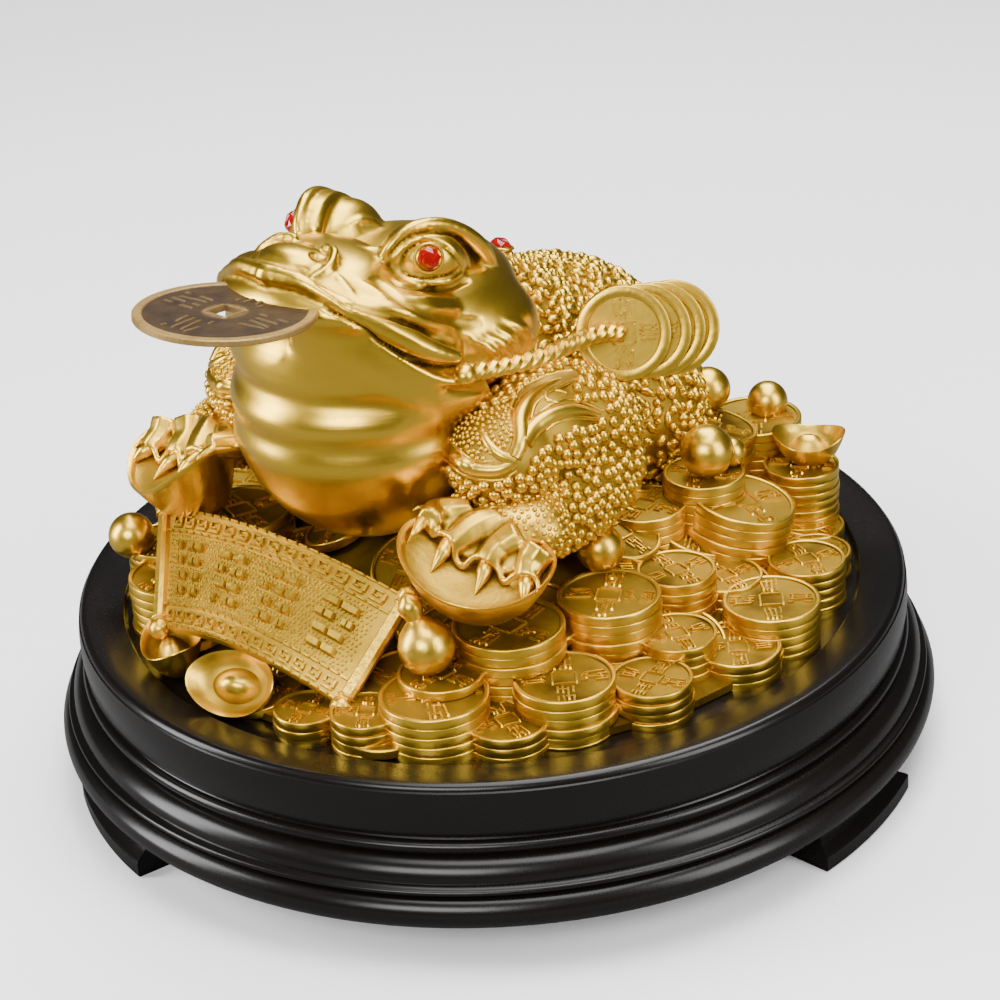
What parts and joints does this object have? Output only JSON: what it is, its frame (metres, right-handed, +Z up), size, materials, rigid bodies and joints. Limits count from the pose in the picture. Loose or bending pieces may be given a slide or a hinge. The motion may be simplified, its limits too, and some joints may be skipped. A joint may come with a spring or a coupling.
{
  "type": "money toad figure",
  "caption": "Money toad cast in brass, resting on a heap of coins and ingots with a coin in its mouth, on a round black lacquered wooden stand.",
  "frame": {"origin": "on the floor under the middle of the round stand, at the bottom centre of the bounding box", "axes": "+Z up, the toad looks along -Y, its left side is towards +X"},
  "size_m": [0.2376, 0.239, 0.1603],
  "materials": {
    "black_lacquer": "black lacquer, semi-gloss",
    "cast_brass": "polished on the high places, brushed and tarnished in the low ones",
    "dark_bronze": "dark brown patina, bright on the rims",
    "red_glass": "cut and polished"
  },
  "bodies": {
    "root": {"stand": "black_lacquer", "stand_foot_1": "black_lacquer", "stand_foot_2": "black_lacquer", "stand_foot_3": "black_lacquer", "toad_casting": "cast_brass", "mouth_coin": "dark_bronze", "eye_stone_left": "red_glass", "eye_stone_right": "red_glass", "back_stone": "red_glass"}
  },
  "joints": []
}
